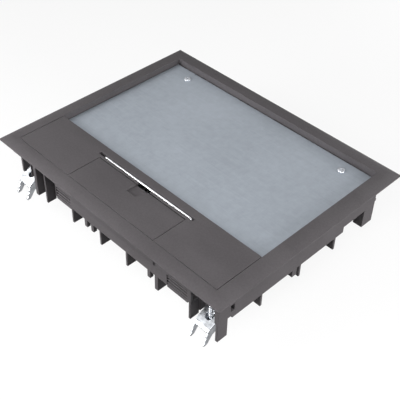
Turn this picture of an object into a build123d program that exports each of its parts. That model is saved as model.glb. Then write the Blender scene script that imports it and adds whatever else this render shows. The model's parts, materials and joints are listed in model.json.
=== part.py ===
from build123d import *
import os

os.makedirs("parts", exist_ok=True)

# Floor socket box for nine-module floor cut-outs. Millimetres, +Z up, X along the long side,
# Y towards the lid hinge. The origin is the middle of the base, under the device cups.
# Heights written as h are measured from the finished floor surface.

# Outlet modules, which set the size of the box
module = 45.0           # side of one outlet insert
module_gap = 5.0        # gap between two inserts
cup_end = 13.5          # cup beyond the outer insert
cup_room = 17.0         # cup wider than an insert

# Frame around the cups
floor_z = 68.0          # floor surface above the base
shelf_gap = 12.0        # shelf opening beyond the cup, long way
shelf_w = 20.0          # shelf between its opening and the lid opening
border_side = 14.0      # flange border beside the lid
border_front = 11.5
border_rear = 15.0
front_room = 53.0       # flange front edge to the front cup
rear_room = 30.5        # rear cup to the flange rear edge
cup_gap = 4.5           # between the walls of the two cups
rim_h = 4.0             # top of the flange above the floor
edge_h = 1.0            # upright outer edge of the flange
slope_in = 9.0          # inset where the rounded border meets the flat one
wall_in = 6.0           # outer wall inset from the flange edge
wall_t = 2.5            # outer wall thickness
wall_h = 23.5           # front and rear wall depth below the floor
side_wall_h = 26.2      # side walls, in front of their step
seat_t = 2.5            # shelf that carries the device cups
clear = 0.3             # gap between pieces that only rest together
hole_play = 0.4         # radial play of a screw in a plain hole
small_slot = 0.45       # half width of the cross slot in small screws
big_slot = 0.6

module_pitch = module + module_gap
cup_half_x = module_pitch + module / 2 + cup_end
cup_w = module + cup_room
cup_open_x = cup_half_x + shelf_gap
open_x = cup_open_x + shelf_w
flange_l = 2 * (open_x + border_side)
flange_w = front_room + 2 * cup_w + cup_gap + rear_room
wall_x = flange_l / 2 - wall_in
wall_y = flange_w / 2 - wall_in
inner_x = wall_x - wall_t
inner_y = wall_y - wall_t
open_front = border_front - flange_w / 2
open_rear = flange_w / 2 - border_rear
cup_front_y = front_room + cup_w / 2 - flange_w / 2
cup_y = (cup_front_y, cup_front_y + cup_w + cup_gap)

# Collar and ledges around the lid
collar_t = 2.4
collar_h = 9.0
ledge_h = 5.8           # top of the lid ledge below the floor
ledge_t = 2.6
ledge_in = 3.0
cord_ledge_in = 8.5     # deeper ledge under the cord outlet
ledge_half_x = open_x - 20.0
side_ledge_front = open_front + 16.5
side_ledge_rear = open_rear - 19.0

# Opening in the cup shelf
cup_open_front = cup_y[0] - cup_w / 2 - 11.0
cup_open_rear = cup_y[1] + cup_w / 2 + 8.5

# Claw pockets
claw_x_front = wall_x - 16.0
claw_x_rear = wall_x - 20.0
claw_y = wall_y - 10.0
pocket_side = 2.0
pocket_half = 12.0
pocket_depth = claw_y - 10.0    # pocket's inner face, distance from the long centre line
shelf_top = 14.5
shelf_edge = claw_y + 4.0       # outer edge of the screw shelf
shelf_t = 2.5
pocket_wall_end = claw_y + 1.0
slot_top = 10.0         # top of the claw slot in the outer wall
screw_r = 2.5
screw_head_r = 4.0
screw_head_h = 2.8
screw_len = 32.0
screw_play = 0.05       # radial play of pins and screws that turn

# Lid
lid_gap = 0.4
lid_rear = open_rear - 1.3
hinge_y = open_rear - 7.0
hinge_h = 5.25          # hinge axis below the floor
bead_r = 1.75
hinge_pin_r = 1.0
hinge_pin_len = 9.0
plate_top = 2.0         # steel plate below the floor
plate_t = 1.5
base_t = 2.0
strip_rear = open_front + 46.7
strip_t = 2.5
skirt_t = 2.2
lid_rib_t = 2.0
lid_rib_h = 3.0
lid_rib_half = open_x - 18.0
lid_rib_end = open_rear - 21.0
lid_rib_pitch = (open_x - 28.0) / 2
lid_rib_row = 40.0      # distance between the ribs across the lid
lid_rib_middle = 20.0
plate_screw_x = open_x - 25.7
plate_screw_y = open_rear - 13.0
plate_screw_r = 1.3
plate_screw_len = 7.0
plate_screw_head_r = 3.4
plate_screw_head_h = 1.3
plate_boss_r = 3.0
plate_boss_h = 5.0

# Cord outlet flap
flap_half = 51.0
flap_gap = 0.5
flap_rear = strip_rear - 13.2
flap_t = 3.0
flap_bead_r = 1.5
flap_pin_r = 0.7
flap_pin_len = 9.0
lip_w = 2.2
finger_x = 2.2          # middle of the finger gap, right of the flap's middle
finger_half = 7.6
finger_tip_half = 5.6
finger_len = 11.0
finger_depth = 1.6

# Handle
handle_x = 2.3          # middle of the bail, which lies to one side in its slot
handle_half = flap_half + 1.4
handle_front = strip_rear - 10.2
handle_t = 1.5
handle_top = 3.9
handle_bar = 2.1
handle_arm = 4.0
handle_foot_h = 24.0
handle_foot = 2.5
handle_toe = 3.0
guide_bottom = 6.0
guide_wall = 1.6
guide_play = 0.2
slot_half = handle_half + handle_x + 1.6
slot_front = handle_front - clear
slot_rear = handle_front + handle_t + 1.1

# Latches
latch_x = open_x - 33.0
latch_w = 10.0
latch_t = 3.0
latch_top = 1.1
latch_gap = 0.1         # nose of the catch to the collar
latch_nose = 1.0
latch_play = 0.2
latch_tail = open_front + 16.5
rail_t = 1.5
tail_t = 2.0

# Device cups
cup_rim = 22.0          # cup flange beyond the cup wall, long way
cup_lip = 2.0           # and across
cup_top = 17.7
cup_flange_t = 2.5
cup_wall = 2.0
cup_flange_x = cup_half_x + cup_rim
cup_flange_w = cup_w + 2 * cup_lip
cup_screw_x = cup_flange_x - 5.0
cup_screw_r = 1.5
cup_screw_y = cup_w / 2 - 7.0
cup_screw_len = 7.0
cup_screw_head_r = 2.9
cup_screw_head_h = 1.8
carrier_top = 37.5
carrier_t = 2.5
boss_r = 3.2
boss_in = 2.6           # boss axis, in from the cup's inner wall
carrier_screw_r = 1.25
carrier_screw_len = 9.0
carrier_screw_head_r = 2.5
carrier_screw_head_h = 1.6
gland_r = 10.2
gland_h = 56.0

# Sockets
body_side = module - 0.6
face_t = 1.5
socket_play = 0.2
body_depth = 26.0
well_r = module / 2 - 2.9
well_depth = 17.5
pin_gap = 19.0
pin_hole_r = 2.6
sleeve_r = 3.4
sleeve_in_r = 2.45
sleeve_len = 6.0
earth_w = 4.0
earth_t = 0.8
earth_rise = 11.0
earth_seat = 0.1
earth_gap = 0.4         # earth arm to the wall of the well
well_floor_t = 2.0


def block(x0, x1, y0, y1, h0, h1, mode=Mode.ADD):
    """Rectangular block between two corners; heights from the floor surface."""
    with Locations(((x0 + x1) / 2, (y0 + y1) / 2, floor_z + (h0 + h1) / 2)):
        Box(x1 - x0, y1 - y0, h1 - h0, mode=mode)


def rod(x, y, h0, h1, r, mode=Mode.ADD):
    """Upright round rod; heights from the floor surface."""
    with Locations((x, y, floor_z + (h0 + h1) / 2)):
        Cylinder(r, h1 - h0, mode=mode)


def cross_rod(x0, x1, y, h, r, mode=Mode.ADD):
    """Round rod along the long side."""
    with Locations(((x0 + x1) / 2, y, floor_z + h)):
        Cylinder(r, x1 - x0, rotation=(0, 90, 0), mode=mode)


def level(h):
    """Horizontal plane at a height from the floor surface."""
    return Plane.XY.offset(floor_z + h)


def save(piece, name):
    """Name one piece and write it to its own file."""
    piece.label = name
    export_step(piece, "parts/" + name + ".step")


def screw(x, y, h_seat, r, length, head_r, head_h, slot_w):
    """Screw seen from above, with its head standing on h_seat."""
    with BuildPart() as one:
        rod(x, y, h_seat - length, h_seat + head_h / 2, r)
        rod(x, y, h_seat, h_seat + head_h, head_r)
        rim = one.edges().filter_by(GeomType.CIRCLE).group_by(Axis.Z)[-1]
        fillet(rim, head_h * 0.35)
        top = h_seat + head_h
        block(x - head_r * 0.6, x + head_r * 0.6, y - slot_w, y + slot_w, top - head_h / 2, top,
              mode=Mode.SUBTRACT)
        block(x - slot_w, x + slot_w, y - head_r * 0.6, y + head_r * 0.6, top - head_h / 2, top,
              mode=Mode.SUBTRACT)
    return one.part


# Outer frame: flange, collar, walls, cup shelf, claw pockets, ribs and legs
seat_top = -(wall_h - seat_t)
rib_t = 2.0
rib_len = 9.0
rib_h = 38.5
rib_h_end = 40.5
wide_rib_t = 3.7
pocket_rib = 13.1       # rib beside the front right claw
left_ribs = (17.4, 31.6)        # ribs beside the front left claw, from its screw
middle_ribs = (-42.0, -6.0, 26.0)
wide_rib = 60.5
rear_end_rib = 15.5     # ribs beside the rear claws, from their screws
rear_ribs = (-60.0, -26.0, 6.0, 42.0, 75.0)
peg_x = (-24.3, -16.1, 52.1)
peg_w = 3.4
peg_h = 31.0
post_len = 10.0
post_h = 42.0
post_slot_w = 4.0
post_slot_far = 6.5     # slot's far side, from the post
post_slot_h0 = 12.0
post_slot_h1 = 18.8
side_peg_y = wall_y - 116.3
side_peg_len = 5.3
side_peg_in = 4.8
side_peg_h = 33.5
back_wall_h = 37.5      # wall behind the free ribs beside the left claw
free_rib_top = 11.0     # where those ribs stop short of the lid's space
pocket_wall_h = 37.0    # inner side wall of the front claw pockets
sill_h = 25.0           # wall depth under the louvred windows
leg_start = wall_y - 29.0
leg_w = 12.4
leg_end = leg_start + leg_w
leg_h = 38.5
left_post = 8.3         # left leg, from the front of the wall
left_leg_start = left_post - wall_y
wall_cut_start = wall_y - 57.0
side_ribs = (-53.9, -9.8, 32.8, leg_start)
wall_cut_h = 20.4
band_h = 12.0
band_t = 1.2
louvre_h0 = 12.0
louvre_h1 = 22.0
louvre_step = 3.2
louvre_count = 3
louvre_bar = 1.2
louvre_in = 0.4
louvre_t = 1.6
louvres = ((-62.5, -43.5), (claw_x_front - 37.5, claw_x_front - 15.5))
band_x0 = middle_ribs[0]
band_x1 = wide_rib - 1.5
front_ribs = [(x, rib_t, rib_h) for x in middle_ribs]
front_ribs.append((left_ribs[0] - claw_x_front, wide_rib_t, rib_h_end))
front_ribs.append((left_ribs[1] - claw_x_front, rib_t, rib_h_end))
front_ribs.append((wide_rib, wide_rib_t, rib_h))
front_ribs.append((claw_x_front - pocket_rib, rib_t, rib_h_end))
free_ribs = front_ribs[3:5]
gap_x0 = pocket_half + pocket_side / 2 - claw_x_front
gap_x1 = louvres[0][0] - 1.0
rear_ribs += (claw_x_rear - rear_end_rib, rear_end_rib - claw_x_rear)

pockets = ((claw_x_front, -1), (-claw_x_front, -1), (claw_x_rear, 1), (-claw_x_rear, 1))


def rounded_slab(plane, half, run):
    """Slab with the flange's upright edge and rounded border along two sides."""
    top = floor_z + rim_h
    edge = floor_z + edge_h
    flat = half - slope_in
    with BuildPart() as slab:
        with BuildSketch(plane):
            with BuildLine():
                Polyline((-half, edge), (-half, floor_z), (half, floor_z), (half, edge))
                TangentArc((flat, top), (half, edge), tangent=(1, 0))
                Line((flat, top), (-flat, top))
                TangentArc((-flat, top), (-half, edge), tangent=(-1, 0))
            make_face()
        extrude(amount=run, both=True)
    return slab.part


slab_long = rounded_slab(Plane.XZ, flange_l / 2, flange_w / 2)
slab_wide = rounded_slab(Plane.YZ, flange_w / 2, flange_l / 2)

with BuildPart() as mounting_frame:
    add(slab_long)
    add(slab_wide, mode=Mode.INTERSECT)
    # outer wall with the cup shelf
    block(-wall_x, wall_x, -wall_y, wall_y, -wall_h, 0)
    block(-inner_x, inner_x, -inner_y, inner_y, seat_top, 0, mode=Mode.SUBTRACT)
    block(-cup_open_x, cup_open_x, cup_open_front, cup_open_rear, -wall_h, 0, mode=Mode.SUBTRACT)
    # collar around the lid
    block(-open_x - collar_t, open_x + collar_t, open_front - collar_t, open_rear + collar_t,
          -collar_h, 0)
    block(-open_x, open_x, open_front, open_rear, -collar_h, rim_h, mode=Mode.SUBTRACT)
    # ledges the lid rests on
    low = -ledge_h - ledge_t
    block(-ledge_half_x, ledge_half_x, open_front, open_front + ledge_in, low, -ledge_h)
    block(-flap_half, flap_half, open_front, open_front + cord_ledge_in, low, -ledge_h)
    for sx in (-1, 1):
        x_a, x_b = sorted((sx * open_x, sx * (open_x - ledge_in)))
        block(x_a, x_b, side_ledge_front, side_ledge_rear, low, -ledge_h)
    # claw pockets at the corners
    for cx, sy in pockets:
        x0 = cx - pocket_half
        x1 = cx + pocket_half
        y_in, y_out = sorted((sy * pocket_depth, sy * (wall_y + 1)))
        block(x0, x1, y_in, y_out, -wall_h, -slot_top, mode=Mode.SUBTRACT)
        y_in, y_out = sorted((sy * pocket_depth, sy * shelf_edge))
        block(x0 - pocket_side / 2, x1 + pocket_side / 2, y_in, y_out, -shelf_top - shelf_t,
              -shelf_top)
        for xw in (x0, x1):
            deep = pocket_wall_h if sy < 0 and abs(xw) < abs(cx) else wall_h
            y_a, y_b = sorted((sy * pocket_depth, sy * pocket_wall_end))
            block(xw - pocket_side / 2, xw + pocket_side / 2, y_a, y_b, -deep, -shelf_top)
        y_a, y_b = sorted((sy * pocket_depth, sy * (pocket_depth - pocket_side)))
        block(x0 - pocket_side / 2, x1 + pocket_side / 2, y_a, y_b, -wall_h, -shelf_top)
        rod(cx, sy * claw_y, -shelf_top - shelf_t - 1, -shelf_top + 1, screw_r + screw_play,
            mode=Mode.SUBTRACT)
    # right wall: post at the front corner, slot, raised stretch, leg at the hinge end
    x_a = inner_x - 1
    x_b = wall_x + 1
    post_in = post_len - wall_y
    slot_end = post_in + post_slot_far
    block(x_a, x_b, slot_end - post_slot_w, slot_end, -post_slot_h1, -post_slot_h0,
          mode=Mode.SUBTRACT)
    block(inner_x, wall_x, slot_end - post_slot_w / 2, wall_cut_start, -side_wall_h, seat_top)
    block(x_a, x_b, wall_cut_start, leg_start, -wall_h, -wall_cut_h, mode=Mode.SUBTRACT)
    block(x_a, x_b, leg_end, wall_y + 1, -wall_h, 0, mode=Mode.SUBTRACT)
    block(inner_x, wall_x, -wall_y, post_in, -post_h, 0)
    block(wall_x - side_peg_in, wall_x, side_peg_y - side_peg_len / 2,
          side_peg_y + side_peg_len / 2, -side_peg_h, seat_top)
    block(inner_x, wall_x, leg_start, leg_end, -leg_h, 0)
    # left wall: both corners open, a leg beside each
    left_leg_end = left_leg_start + leg_w
    block(-wall_x, -inner_x, left_leg_end, wall_cut_start, -side_wall_h, seat_top)
    block(-x_b, -x_a, wall_cut_start, leg_start, -wall_h, -wall_cut_h, mode=Mode.SUBTRACT)
    block(-x_b, -x_a, -wall_y - 1, left_leg_start, -wall_h, 0, mode=Mode.SUBTRACT)
    block(-x_b, -x_a, leg_end, wall_y + 1, -wall_h, 0, mode=Mode.SUBTRACT)
    block(-x_b, -claw_x_front, -wall_y - 1, -inner_y + 1, -wall_h, -slot_top, mode=Mode.SUBTRACT)
    for x_c in (-1, 1):
        x_a, x_b = sorted((x_c * claw_x_rear, x_c * (wall_x + 1)))
        block(x_a, x_b, inner_y - 1, wall_y + 1, -wall_h, -slot_top, mode=Mode.SUBTRACT)
    block(-wall_x, -inner_x, left_leg_start, left_leg_end, -leg_h, 0)
    block(-wall_x, -inner_x, leg_start, leg_end, -leg_h, 0)
    # shelf corners that would stand outside the open corners of the walls
    for cx, sy in pockets[1:]:
        sx = 1 if cx > 0 else -1
        x_a, x_b = sorted((cx + sx * (pocket_half - pocket_side / 2), sx * inner_x))
        y_a, y_b = sorted((sy * pocket_wall_end, sy * inner_y))
        block(x_a, x_b, y_a, y_b, -wall_h, seat_top, mode=Mode.SUBTRACT)
    # front wall open beside the left claw, its ribs free and a wall behind them
    rib_in = rib_len - wall_y
    block(gap_x0, gap_x1, -wall_y - 1, -inner_y, -wall_h, 0, mode=Mode.SUBTRACT)
    block(gap_x0, gap_x1, -inner_y, rib_in, -wall_h, seat_top, mode=Mode.SUBTRACT)
    block(gap_x0, gap_x1, rib_in, rib_in + wall_t, -back_wall_h, seat_top)
    for x, t, depth in free_ribs:
        block(x - t / 2, x + t / 2, -wall_y, rib_in, seat_top, -free_rib_top)
        block(x - t / 2, x + t / 2, -wall_y, -inner_y, -free_rib_top, 0)
    # ribs below the walls
    for x, t, depth in front_ribs:
        block(x - t / 2, x + t / 2, -wall_y, -wall_y + rib_len, -depth, seat_top)
    for x in rear_ribs:
        block(x - rib_t / 2, x + rib_t / 2, wall_y - rib_len, wall_y, -rib_h, seat_top)
    for y in side_ribs:
        for sx in (-1, 1):
            block(*sorted((sx * (wall_x - rib_len), sx * wall_x)), y - rib_t / 2, y + rib_t / 2,
                  -rib_h, seat_top)
    for x in peg_x:
        block(x - peg_w / 2, x + peg_w / 2, -wall_y, -wall_y + peg_w, -peg_h, seat_top)
    # plain band and the louvred windows in the front wall
    block(band_x0, band_x1, -wall_y - band_t, -wall_y, -band_h, 0)
    for x0, x1 in louvres:
        block(x0, x1, -wall_y, -inner_y, -sill_h, -wall_h)
        block(x0, x1, -wall_y - 1, -inner_y + 1, -louvre_h1, -louvre_h0, mode=Mode.SUBTRACT)
        for k in range(louvre_count):
            h = -louvre_h0 - louvre_step * (k + 0.75)
            block(x0, x1, -wall_y + louvre_in, -wall_y + louvre_in + louvre_t,
                  h - louvre_bar / 2, h + louvre_bar / 2)
    # holes for the hinge pins and the cup screws
    for sx in (-1, 1):
        cross_rod(*sorted((sx * (open_x - 1), sx * (open_x + collar_t + 1))), hinge_y, -hinge_h,
                  hinge_pin_r + screw_play, mode=Mode.SUBTRACT)
        for cy in cup_y:
            for dy in (-cup_screw_y, cup_screw_y):
                rod(sx * cup_screw_x, cy + dy, -wall_h - 1, seat_top + 1, cup_screw_r + screw_play,
                    mode=Mode.SUBTRACT)
save(mounting_frame.part, "mounting_frame")


# Lid: plastic base with the raised front strip
lid_x = open_x - lid_gap
lid_front = open_front + lid_gap
base_top = -plate_top - plate_t
base_bottom = base_top - base_t
strip_under = rim_h - strip_t
hole_x = flap_half + flap_gap
band_front = flap_rear + flap_gap
guide_x = (handle_x - handle_half + handle_arm / 2, handle_x + handle_half - handle_arm / 2)
rail_end = latch_tail - 4.0
cover_top = -latch_top - latch_t - latch_play

with BuildPart() as lid_base:
    block(-lid_x, lid_x, strip_rear, lid_rear, base_bottom, base_top)
    cross_rod(-lid_x, lid_x, hinge_y, -hinge_h, bead_r)
    block(-lid_x, lid_x, lid_front, strip_rear, base_bottom, rim_h)
    top_edges = lid_base.edges().group_by(Axis.Z)[-1]
    fillet(top_edges, 0.4)
    for sx in (-1, 1):
        x_in = hole_x + lip_w
        block(*sorted((sx * x_in, sx * (lid_x - skirt_t))), lid_front + skirt_t,
              strip_rear - skirt_t, base_bottom, strip_under, mode=Mode.SUBTRACT)
    block(-hole_x - lip_w, hole_x + lip_w, band_front, strip_rear - skirt_t, base_bottom,
          strip_under, mode=Mode.SUBTRACT)
    # opening for the cord flap, with a lip at each side
    block(-hole_x, hole_x, lid_front - 1, band_front, base_bottom, rim_h + 1, mode=Mode.SUBTRACT)
    for sx in (-1, 1):
        block(*sorted((sx * (hole_x - lip_w), sx * hole_x)), lid_front, band_front - 4,
              base_bottom, rim_h - flap_t - clear)
        cross_rod(*sorted((sx * (hole_x - 1), sx * (hole_x + flap_pin_len / 2 + 1))),
                  flap_rear - flap_bead_r, rim_h - flap_bead_r, flap_pin_r + screw_play,
                  mode=Mode.SUBTRACT)
    # slot for the handle and the finger gap in front of it
    block(-slot_half, slot_half, slot_front, slot_rear, strip_under - 1, rim_h + 1,
          mode=Mode.SUBTRACT)
    block(finger_x - finger_half, finger_x + finger_half, band_front - 1, slot_front + 1,
          strip_under - 1, rim_h + 1, mode=Mode.SUBTRACT)
    # stiffening ribs under the plate area
    for k in range(-2, 3):
        x = k * lid_rib_pitch
        block(x - lid_rib_t / 2, x + lid_rib_t / 2, strip_rear, lid_rib_end,
              base_bottom - lid_rib_h, base_bottom)
    for k in (-1, 0, 1):
        y = lid_rib_middle + k * lid_rib_row
        block(-lid_rib_half, lid_rib_half, y - lid_rib_t / 2, y + lid_rib_t / 2,
              base_bottom - lid_rib_h, base_bottom)
    # holes for the plate screws
    for sx in (-1, 1):
        rod(sx * plate_screw_x, plate_screw_y, base_bottom - plate_boss_h, base_bottom,
            plate_boss_r)
        rod(sx * plate_screw_x, plate_screw_y, -plate_top - plate_screw_len - 1, base_top + 1,
            plate_screw_r + screw_play, mode=Mode.SUBTRACT)
        # latch rails and the window for the bolt
        for side in (-1, 1):
            rail = sx * latch_x + side * (latch_w / 2 + latch_play + rail_t / 2)
            block(rail - rail_t / 2, rail + rail_t / 2, lid_front + skirt_t, rail_end,
                  cover_top, strip_under)
        block(sx * latch_x - latch_w / 2 - latch_play, sx * latch_x + latch_w / 2 + latch_play,
              lid_front - 1, lid_front + skirt_t + 1, cover_top,
              -latch_top + latch_play, mode=Mode.SUBTRACT)
        cross_rod(*sorted((sx * (lid_x - hinge_pin_len + 2), sx * (lid_x + 1))), hinge_y,
                  -hinge_h, hinge_pin_r, mode=Mode.SUBTRACT)
save(lid_base.part, "lid_base")

# Steel plate let into the lid
with BuildPart() as lid_plate:
    block(-lid_x + clear, lid_x - clear, strip_rear + clear, lid_rear, base_top, -plate_top)
    for sx in (-1, 1):
        rod(sx * plate_screw_x, plate_screw_y, base_top - 1, -plate_top + 1,
            plate_screw_r + hole_play, mode=Mode.SUBTRACT)
save(lid_plate.part, "lid_plate")

plate_screws = [screw(sx * plate_screw_x, plate_screw_y, -plate_top, plate_screw_r,
                      plate_screw_len, plate_screw_head_r, plate_screw_head_h, small_slot)
                for sx in (-1, 1)]
save(Compound(children=plate_screws), "plate_screws")

# Hinge pins, fixed in the lid and running in the frame's collar
with BuildPart() as hinge_pins:
    for sx in (-1, 1):
        cross_rod(*sorted((sx * (lid_x - hinge_pin_len + 2), sx * (open_x + collar_t - 0.4))),
                  hinge_y, -hinge_h, hinge_pin_r)
save(hinge_pins.part, "hinge_pins")

# Flap over the cord outlet
flap_h = rim_h - flap_bead_r
flap_y = flap_rear - flap_bead_r
with BuildPart() as cord_flap:
    block(-flap_half, flap_half, lid_front, flap_y, rim_h - flap_t, rim_h)
    cross_rod(-flap_half, flap_half, flap_y, flap_h, flap_bead_r)
    with BuildSketch(level(rim_h)):
        with BuildLine():
            Polyline((finger_x - finger_half, flap_rear + 1),
                     (-finger_tip_half, flap_rear - finger_len),
                     (finger_tip_half, flap_rear - finger_len),
                     (finger_x + finger_half, flap_rear + 1), close=True)
        make_face()
    extrude(amount=-finger_depth, mode=Mode.SUBTRACT)
    for sx in (-1, 1):
        cross_rod(*sorted((sx * (flap_half - flap_pin_len / 2), sx * (flap_half + 1))), flap_y,
                  flap_h, flap_pin_r, mode=Mode.SUBTRACT)
save(cord_flap.part, "cord_flap")

with BuildPart() as flap_pins:
    for sx in (-1, 1):
        cross_rod(*sorted((sx * (flap_half - flap_pin_len / 2),
                           sx * (flap_half + flap_pin_len / 2))), flap_y, flap_h, flap_pin_r)
save(flap_pins.part, "flap_pins")

# Foam strip that closes the cord outlet from below
with BuildPart() as cord_seal:
    block(-flap_half + 4, flap_half - 4, open_front + clear, open_front + cord_ledge_in - 0.5,
          -ledge_h + clear, rim_h - flap_t - clear)
save(cord_seal.part, "cord_seal")

# Lift handle
with BuildPart() as lift_handle:
    h_rear = handle_front + handle_t
    block(handle_x - handle_half, handle_x + handle_half, handle_front, h_rear,
          handle_top - handle_bar, handle_top)
    for gx in guide_x:
        arm = handle_arm / 2
        block(gx - arm, gx + arm, handle_front, h_rear, -handle_foot_h, handle_top)
        block(gx - arm - handle_toe, gx + arm + handle_toe, handle_front, h_rear,
              -handle_foot_h, -handle_foot_h + handle_foot)
save(lift_handle.part, "lift_handle")

# Guides for the two arms of the handle, fixed under the lid
for name, gx in zip(("handle_guide_left", "handle_guide_right"), guide_x):
    with BuildPart() as guide:
        half = handle_arm / 2 + guide_play
        y_mid = handle_front + handle_t / 2
        half_y = handle_t / 2 + guide_play
        block(gx - half - guide_wall, gx + half + guide_wall, y_mid - half_y - guide_wall,
              y_mid + half_y + guide_wall, -guide_bottom, strip_under)
        block(gx - half, gx + half, y_mid - half_y, y_mid + half_y, -guide_bottom, strip_under,
              mode=Mode.SUBTRACT)
    save(guide.part, name)

# Sprung latch bolts at the front edge of the lid, and the covers that hold them
for side, sx in (("left", -1), ("right", 1)):
    cx = sx * latch_x
    with BuildPart() as latch:
        block(cx - latch_w / 2, cx + latch_w / 2, open_front + latch_gap, latch_tail,
              -latch_top - latch_t, -latch_top)
        nose = latch.edges().filter_by(Axis.X).group_by(Axis.Y)[0]
        fillet(nose, latch_nose)
        block(cx - latch_w / 4, cx + latch_w / 4, latch_tail - tail_t, latch_tail, -latch_top,
              strip_under - clear)
    save(latch.part, "latch_" + side)
    with BuildPart() as cover:
        block(cx - latch_w / 2 - latch_play - rail_t, cx + latch_w / 2 + latch_play + rail_t,
              lid_front + skirt_t, rail_end, base_bottom, cover_top)
    save(cover.part, "latch_cover_" + side)

# Claws that grip the floor, their nuts and their screws
claw_half = 7.6
claw_t = 1.4
plate_in = 6.0          # claw plate, inner end behind the screw
plate_out = -9.8        # claw plate, outer end in front of the screw
plate_h_in = -28.0
plate_h_out = -36.0
teeth = 4
tooth = 1.0
tip_y = -15.2
tip_h = -51.0
nut_half = 6.0
nut_top = -36.6
nut_t = 4.0

with BuildPart() as claw_shape:
    with BuildSketch(Plane.YZ):
        with BuildLine():
            pts = [(plate_in, plate_h_in + floor_z), (plate_out, plate_h_out + floor_z)]
            for k in range(teeth):
                a = (k + 0.5) / teeth
                b = (k + 1.0) / teeth
                y_a = plate_out + (tip_y - plate_out) * a
                h_a = plate_h_out + (tip_h - plate_h_out) * a
                y_b = plate_out + (tip_y - plate_out) * b
                h_b = plate_h_out + (tip_h - plate_h_out) * b
                pts.append((y_a - tooth, h_a + floor_z))
                pts.append((y_b + tooth * 0.3, h_b + floor_z))
            pts.append((tip_y + 3.6, tip_h + 0.6 + floor_z))
            pts.append((plate_out + 3.6, plate_h_out - 7.5 + floor_z))
            pts.append((plate_in, plate_h_in - 12.0 + floor_z))
            Polyline(*pts, close=True)
        make_face()
    extrude(amount=claw_half, both=True)
    with BuildSketch(Plane.YZ):
        with BuildLine():
            Polyline((plate_in + 1, plate_h_in - claw_t + floor_z + 0.5),
                     (tip_y - 3, plate_h_in - claw_t + floor_z
                      - (plate_in + 3 - tip_y) * (plate_h_in - plate_h_out)
                      / (plate_in - plate_out)),
                     (tip_y - 3, tip_h - 2 + floor_z), (plate_in + 1, tip_h - 2 + floor_z),
                     close=True)
        make_face()
    extrude(amount=claw_half - claw_t, both=True, mode=Mode.SUBTRACT)
    with BuildSketch(level(0)):
        Circle(screw_r + 0.9)
        with BuildLine():
            Polyline((-3.3, -1.0), (-1.2, 4.0), (1.2, 4.0), (3.3, -1.0), close=True)
        make_face()
        with Locations((0, -2.0)):
            Circle(screw_r + 0.8)
    extrude(amount=tip_h, mode=Mode.SUBTRACT)

with BuildPart() as nut_shape:
    block(-nut_half, nut_half, -nut_half + 0.8, nut_half - 0.8, nut_top - nut_t, nut_top)
    rod(0, 0, nut_top - nut_t - 1, nut_top + 1, screw_r + screw_play, mode=Mode.SUBTRACT)

claw_names = (("front_right", claw_x_front, -1), ("front_left", -claw_x_front, -1),
              ("rear_right", claw_x_rear, 1), ("rear_left", -claw_x_rear, 1))
for name, cx, sy in claw_names:
    turn = 0 if sy < 0 else 180
    place = Location((cx, sy * claw_y, 0), (0, 0, turn))
    save(claw_shape.part.moved(place), "claw_" + name)
    save(nut_shape.part.moved(place), "claw_nut_" + name)
    save(screw(cx, sy * claw_y, -shelf_top, screw_r, screw_len, screw_head_r, screw_head_h,
                big_slot),
         "claw_screw_" + name)


# Device cups, one in front of the other, each with a carrier and three socket outlets
def make_cup(cy):
    with BuildPart() as cup:
        block(-cup_flange_x, cup_flange_x, cy - cup_flange_w / 2, cy + cup_flange_w / 2,
              -cup_top - cup_flange_t, -cup_top)
        block(-cup_half_x, cup_half_x, cy - cup_w / 2, cy + cup_w / 2, -floor_z, -cup_top)
        block(-cup_half_x + cup_wall, cup_half_x - cup_wall, cy - cup_w / 2 + cup_wall,
              cy + cup_w / 2 - cup_wall, -floor_z + cup_wall, -cup_top, mode=Mode.SUBTRACT)
        for sx in (-1, 1):
            for dy in (-1, 1):
                bx = sx * (cup_half_x - cup_wall - boss_in)
                by = cy + dy * (cup_w / 2 - cup_wall - boss_in)
                rod(bx, by, -floor_z + cup_wall, -carrier_top - carrier_t, boss_r)
                rod(bx, by, -carrier_top - carrier_screw_len - 1, -carrier_top,
                    carrier_screw_r + screw_play, mode=Mode.SUBTRACT)
                rod(sx * cup_screw_x, cy + dy * cup_screw_y, -cup_top - cup_flange_t - 1,
                    -cup_top + 1, cup_screw_r + hole_play, mode=Mode.SUBTRACT)
        cross_rod(cup_half_x - cup_wall - 1, cup_half_x + 1, cy, -gland_h, gland_r,
                  mode=Mode.SUBTRACT)
    return cup.part


def make_carrier(cy):
    with BuildPart() as carrier:
        block(-cup_half_x + cup_wall + clear, cup_half_x - cup_wall - clear,
              cy - cup_w / 2 + cup_wall + clear, cy + cup_w / 2 - cup_wall - clear,
              -carrier_top - carrier_t, -carrier_top)
        for k in (-1, 0, 1):
            x = k * module_pitch
            half = body_side / 2 + socket_play
            block(x - half, x + half, cy - half, cy + half, -carrier_top - carrier_t - 1,
                  -carrier_top + 1, mode=Mode.SUBTRACT)
        for sx in (-1, 1):
            for dy in (-1, 1):
                bx = sx * (cup_half_x - cup_wall - boss_in)
                by = cy + dy * (cup_w / 2 - cup_wall - boss_in)
                rod(bx, by, -carrier_top - carrier_t - 1, -carrier_top + 1,
                    carrier_screw_r + hole_play, mode=Mode.SUBTRACT)
    return carrier.part


face_top = -carrier_top + face_t
well_floor = face_top - well_depth
body_bottom = -carrier_top - body_depth
earth_y = well_r - earth_gap
sleeve_top = well_floor - well_floor_t - 0.1


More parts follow.
